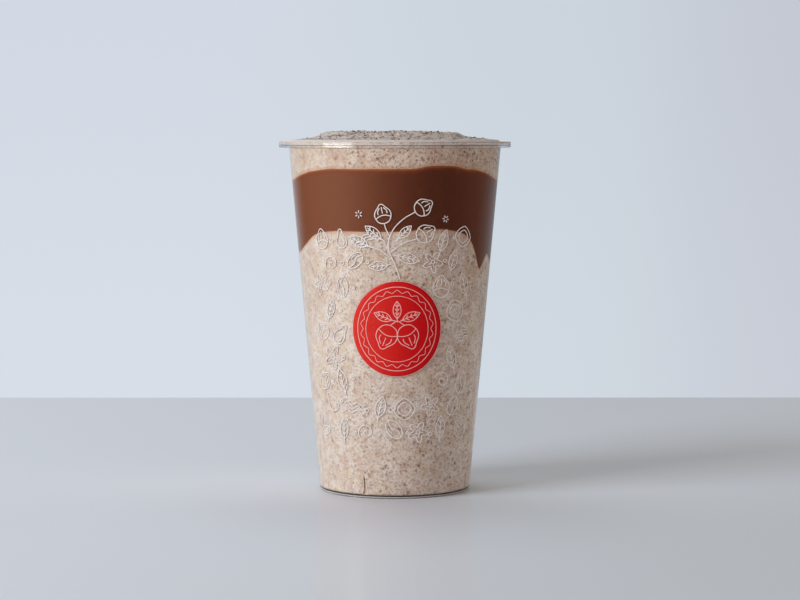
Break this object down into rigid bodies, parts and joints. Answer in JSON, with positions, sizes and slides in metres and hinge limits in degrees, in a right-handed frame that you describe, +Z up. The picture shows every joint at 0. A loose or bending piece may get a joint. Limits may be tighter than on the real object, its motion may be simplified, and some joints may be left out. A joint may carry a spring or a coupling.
{
  "type": "chocolate hazelnut milkshake",
  "caption": "Thick hazelnut milkshake with a band of chocolate sauce, filled past the rim of a clear tapered takeaway cup with a flat sealing rim.",
  "frame": {"origin": "on the surface the cup stands on, under the middle of its foot", "axes": "+Z up along the cup's axis, -Y towards the printed front, +X to the right seen from the front"},
  "size_m": [0.095, 0.095, 0.1486],
  "materials": {
    "clear_cup": "clear smooth polypropylene",
    "hazelnut_shake": "thick creamy shake full of fine brown nut specks",
    "chocolate_sauce": "smooth brown chocolate sauce",
    "cup_print": "thin white line print",
    "badge_print": "solid red print"
  },
  "bodies": {
    "root": {"cup": "clear_cup", "shake_lower": "hazelnut_shake", "chocolate_layer": "chocolate_sauce", "shake_top": "hazelnut_shake"}
  },
  "joints": []
}
